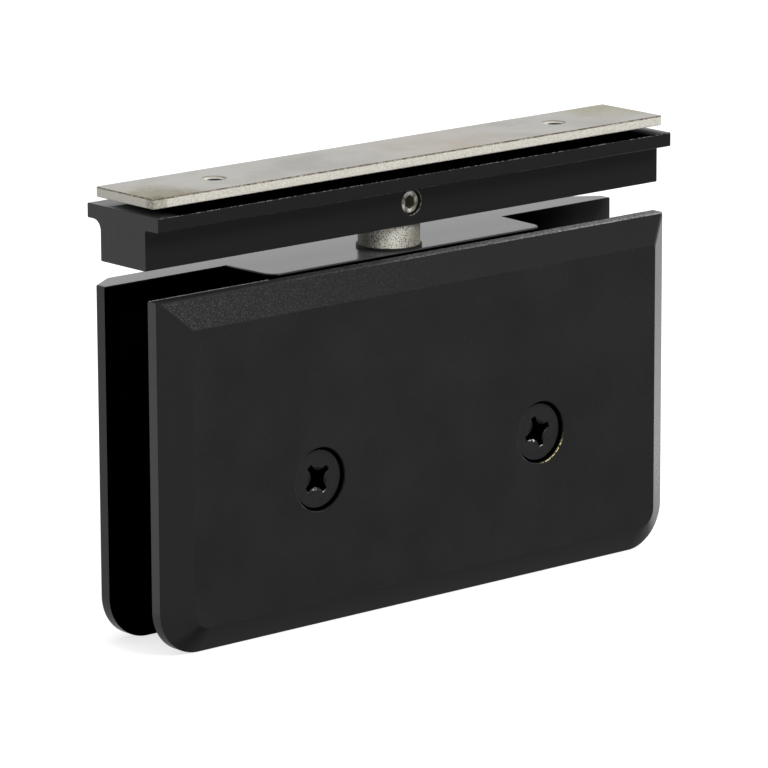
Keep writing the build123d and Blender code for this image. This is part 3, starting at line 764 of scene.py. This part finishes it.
# Bead-blasted stainless: a coarse bright speckle with dark pits, almost without gloss, and darkened
# with painted shade on its left-rear side and on its right-front side. Real pits are about 0.1 mm, and
# are drawn coarser so that they show. A pair is a colour with its roughness.
blastedPin = {
    "colour": "#FFFCEF", "pit": "#181613", "metal": 0.2,
    "patterns": {"speckle": {"cell": 0.22, "detail": 2.0}},
    "spans": {
        "tone": (0.39, 0.45), "rough": (0, 1, 0.75, 0.6),
        "leftRearShade": (0.2 * millimetre, -2.8 * millimetre, 0, 0.85),
        "rightFrontShade": (2.6 * millimetre, 6.4 * millimetre, 0, 0.8),
    },
    "across": (0.757, -0.654, 0.0),  # from the left-rear side's painted shade to the right-front side's
    "ragged": 3 * millimetre,  # how far the speckle breaks up the borders of the two sides
    "leftRearShade": ("#423F37", 0.5), "rightFrontShade": ("#625E52", 0.6),
    "relief": (0.9, 0.12 * millimetre),
}


def makePin():
    material, tree, shader, place = newMaterial("beadBlastedStainless")
    speckle = patterns(tree, place, blastedPin["patterns"])["speckle"]
    spans = {name: span(*ends) for name, ends in blastedPin["spans"].items()}
    tone = addNode(tree, "MapRange", {"Value": speckle, **spans["tone"]}).outputs[0]
    colour = addNode(tree, "Mix", {0: tone, 6: hexColour(blastedPin["pit"]),
                                   7: hexColour(blastedPin["colour"])}, data_type="RGBA").outputs[2]
    rough = addNode(tree, "MapRange", {"Value": tone, **spans["rough"]}).outputs[0]
    across = addNode(tree, "VectorMath", {0: place, 1: blastedPin["across"]},
                     operation="DOT_PRODUCT").outputs["Value"]
    ragged = addNode(tree, "Math", {0: speckle, 1: blastedPin["ragged"], 2: across},
                     operation="MULTIPLY_ADD").outputs[0]
    colour, rough = paintOver(tree, colour, rough, [
        (addNode(tree, "MapRange", {"Value": ragged, **spans[name]}).outputs[0], *blastedPin[name])
        for name in ("rightFrontShade", "leftRearShade")])
    strength, depth = blastedPin["relief"]
    relief = addNode(tree, "Bump", {"Height": speckle, "Strength": strength, "Distance": depth}).outputs[0]
    feed(tree, shader, {"Base Color": colour, "Roughness": rough, "Normal": relief,
                        "Metallic": blastedPin["metal"]})
    return material


dress(makePin(), "pivot_pin", "plunger_left", "plunger_right")
print("pin ready")

# The other metals, rubbers and plastics share one recipe: a speckle in colour, roughness and relief.
# The real ones are finer than 0.1 mm, and are drawn coarser so that they show. Places, radii, cells
# and relief are in millimetres, and a pair is a colour with its roughness.
screwLow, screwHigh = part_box("cover_screw_left")
screwFront, screwBack = screwLow.y / millimetre, screwHigh.y / millimetre
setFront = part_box("pin_set_screw")[0].y / millimetre
smallRecipe = {"detail": 3.0, "tone": (0.35, 0.65), "relief": 0.5, "specular": 0.5}
smallFinishes = {
    "zincPlatedSteel": {  # cool and bright, with a painted shade spot on each tip where it sits in its hole
        "colours": ("#F4F1E6", "#B5AF9F"), "metal": 0.5, "roughness": (0.2, 0.4), "cell": 0.6, "relief": 0.02,
        "tipShade": ("#12100C", 0.8), "tipShadeOffset": (-0.3, -0.7), "tipShadeRadii": (1.9, 1.3),
        "pieces": ("header_screw_left", "header_screw_right"),
    },
    "nickelPlatedSteel": {  # mirror-like, with its hex socket painted darker as shade
        "colours": ("#FFFFFA", "#7E7868"), "metal": 0.3, "roughness": (0.1, 0.3), "cell": 1.1, "relief": 0.04,
        "socket": ("#7A7464", 0.3), "socketRadius": 1.45,
        "socketZone": ((-5, setFront + 0.15, 70), (5, 5, 90), 0.1), "pieces": ("pin_set_screw",),
    },
    "blackOxideSteel": {  # near-black with a dull sheen
        "colours": ("#202021", "#272728"), "metal": 0.0, "roughness": (0.30, 0.42), "cell": 0.4,
        "relief": 0.015, "shade": ("#010101", 1.0), "lipGlint": ("#E2E2E0", 0.4), "glintSpeckle": (0.5, 0.58),
        "shadeZone": ((-70, screwFront + 0.12, 25), (70, screwBack, 35), 0.1),
        "lipZone": ((-70, screwFront - 0.1, 25), (70, screwFront + 0.22, 35), 0.08),
        "lipFacing": ((0, 0, 1), 0.6, 0.8),
        "pieces": ("cover_screw_left", "cover_screw_right", "spring_plug_left", "spring_plug_right"),
    },
    "blackRubberInShade": {  # soft and dead matt, and darker than rubber's own tone as painted shade in the clamp
        "colours": ("#010101", "#020202"), "metal": 0.0, "roughness": (0.9, 1.0), "cell": 0.7, "relief": 0.01,
        "specular": 0.0, "pieces": ("front_gasket", "rear_gasket"),
    },
    "sinteredBronze": {  # warm brown with open pores
        "colours": ("#A5713C", "#7A5027"), "metal": 1.0, "roughness": (0.35, 0.5), "cell": 0.3,
        "relief": 0.02, "pieces": ("upper_bush", "lower_bush"),
    },
    "blackNylon": {  # slightly waxy
        "colours": ("#0E0E0D", "#171615"), "metal": 0.0, "roughness": (0.6, 0.7), "cell": 0.3, "relief": 0.01,
        "pieces": ("thrust_washer",),
    },
    "drawnSpringSteel": {  # grey with a faint mottle
        "colours": ("#8C8F92", "#6A6C6E"), "metal": 1.0, "roughness": (0.25, 0.4), "cell": 0.3,
        "relief": 0.01, "pieces": ("spring_left", "spring_right"),
    },
}


def makeSmallFinish(name, finish):
    material, tree, shader, place = newMaterial(name)
    row = {"cell": finish["cell"], "detail": smallRecipe["detail"]}
    speckle = patterns(tree, place, {"speckle": row})["speckle"]
    tone = addNode(tree, "MapRange", {"Value": speckle, **span(*smallRecipe["tone"])}).outputs[0]
    first, second = (hexColour(text) for text in finish["colours"])
    colour = addNode(tree, "Mix", {0: tone, 6: first, 7: second}, data_type="RGBA").outputs[2]
    rough = addNode(tree, "MapRange", {"Value": tone, **span(0, 1, *finish["roughness"])}).outputs[0]
    specular = finish.get("specular", smallRecipe["specular"])
    layers = []
    if "shade" in finish:
        # the cross recesses are painted black as shade, and their upward-facing lower lips carry painted
        # glints broken by the speckle
        sunk = insideBox(tree, place, *finish["shadeZone"])
        specular = addNode(tree, "MapRange", {"Value": sunk, **span(0, 1, specular, 0)}).outputs[0]
        glintSpeckle = addNode(tree, "MapRange", {"Value": speckle, **span(*finish["glintSpeckle"])}).outputs[0]
        lipGlint = multiplied(tree, insideBox(tree, place, *finish["lipZone"]),
                         facing(tree, *finish["lipFacing"]), glintSpeckle)
        layers = [(sunk, *finish["shade"]), (lipGlint, *finish["lipGlint"])]
    # a painted shade spot on each screw's tip
    if "tipShade" in finish:
        for screw in finish["pieces"]:
            low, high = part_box(screw)
            at = (low + high) / 2 + Vector((*finish["tipShadeOffset"], 0)) * millimetre
            at.z = high.z
            away = addNode(tree, "VectorMath", {0: place, 1: at}, operation="DISTANCE").outputs[1]
            ends = span(*(radius * millimetre for radius in finish["tipShadeRadii"]))
            spot = addNode(tree, "MapRange", {"Value": away, **ends}).outputs[0]
            layers.append((spot, *finish["tipShade"]))
    # the hex socket painted darker as shade
    if "socket" in finish:
        disc = aroundAxis(tree, place, middleOf("pin_set_screw"), -1, finish["socketRadius"])
        hole = multiplied(tree, disc, insideBox(tree, place, *finish["socketZone"]))
        layers.append((hole, *finish["socket"]))
    colour, rough = paintOver(tree, colour, rough, layers)
    relief = addNode(tree, "Bump", {"Height": speckle, "Strength": smallRecipe["relief"],
                                    "Distance": finish["relief"] * millimetre}).outputs[0]
    feed(tree, shader, {"Base Color": colour, "Roughness": rough, "Normal": relief,
                        "Metallic": finish["metal"], "Specular IOR Level": specular})
    return material


for name, finish in smallFinishes.items():
    dress(makeSmallFinish(name, finish), *finish["pieces"])
print("small finishes ready")
